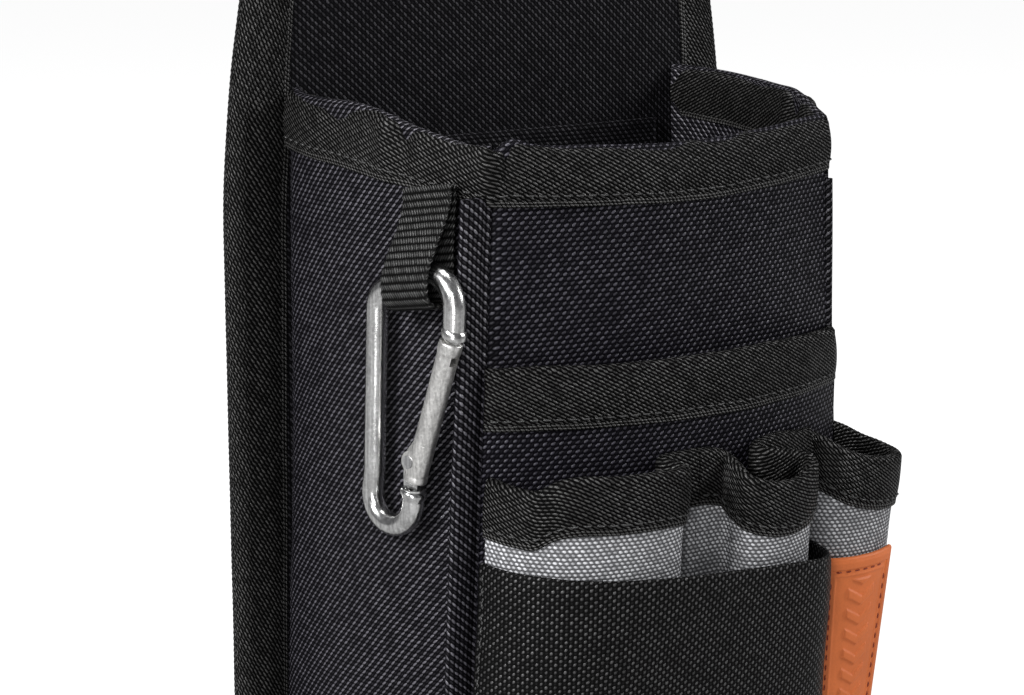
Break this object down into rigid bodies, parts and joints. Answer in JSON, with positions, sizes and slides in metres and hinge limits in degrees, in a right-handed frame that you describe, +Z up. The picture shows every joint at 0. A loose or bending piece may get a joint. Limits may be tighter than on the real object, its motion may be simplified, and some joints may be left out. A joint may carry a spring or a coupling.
{
  "type": "electrician tool pouch",
  "caption": "Belt-worn fabric tool pouch: padded back panel, open main pocket with a bound rim, front pocket, pleated tool loops behind a webbing band, and a carabiner on a tab.",
  "frame": {"origin": "centre of the flat base that the pouch stands on, midway between the front corners and the back panel's inner face", "axes": "+Z up, towards the top of the back panel; +X to the right seen from the front; +Y towards the back, where the belt tunnel is"},
  "size_m": [0.1506, 0.1101, 0.282],
  "materials": {
    "oxford_black": "coarse plain weave, slight sheen",
    "tape_black": "herringbone binding tape",
    "webbing_black": "ribbed webbing",
    "oxford_grey": "coarse plain weave",
    "foam": "closed-cell foam",
    "board": "flat board",
    "label": "embossed, leather look",
    "aluminium": "satin, lightly scratched",
    "steel": "plain",
    "thread": "bar tacks"
  },
  "bodies": {
    "pouch": {"back_panel_inner": "oxford_black", "back_foam_pad": "foam", "back_stiffener": "board", "back_panel_outer": "oxford_black", "back_binding": "tape_black", "inner_slip_pocket": "oxford_black", "front_panel": "oxford_black", "gusset_left": "oxford_black", "gusset_right": "oxford_black", "bottom_panel": "oxford_black", "corner_welt_left": "oxford_black", "corner_welt_right": "oxford_black", "rim_binding": "tape_black", "front_pocket": "oxford_black", "front_pocket_binding": "tape_black", "tool_loop_left": "oxford_grey", "tool_loop_middle": "oxford_grey", "tool_loop_right": "oxford_grey", "loop_binding_left": "tape_black", "loop_binding_middle": "tape_black", "loop_binding_right": "tape_black", "front_band": "webbing_black", "label_patch": "label", "belt_tunnel": "webbing_black", "belt_tunnel_bartacks": "thread"},
    "tab": {"carabiner_tab": "webbing_black"},
    "carabiner": {"carabiner_body": "aluminium"},
    "gate": {"carabiner_gate": "aluminium", "carabiner_rivet": "steel", "gate_spring": "steel"},
    "plunger": {"gate_plunger": "steel"}
  },
  "joints": [
    {"name": "tab_swing", "type": "hinge", "parent": "pouch", "child": "tab", "pos_m": [-0.05878, -0.01958, 0.15903], "axis": [-0.1542, 0.988, 0], "range_deg": [0, 80]},
    {"name": "carabiner_turn", "type": "hinge", "parent": "tab", "child": "carabiner", "pos_m": [-0.06156, -0.02244, 0.14398], "axis": [-0.1559, 0.9141, -0.3744], "range_deg": [0, 55]},
    {"name": "gate_turn", "type": "hinge", "parent": "carabiner", "child": "gate", "pos_m": [-0.0628, -0.02377, 0.10301], "axis": [-0.9874, -0.1541, 0.035], "range_deg": [0, 28], "stiffness_Nm_per_rad": 0.03, "springref_deg": -20.05},
    {"name": "plunger_slide", "type": "slide", "parent": "gate", "child": "plunger", "axis": [0.0805, -0.3005, 0.9504], "range_m": [0, 0.0009], "deforming": ["gate_spring"]}
  ],
  "couplings": [
    {"joint": "plunger_slide", "follows": "gate_turn", "m_per_rad": 0.0018}
  ]
}
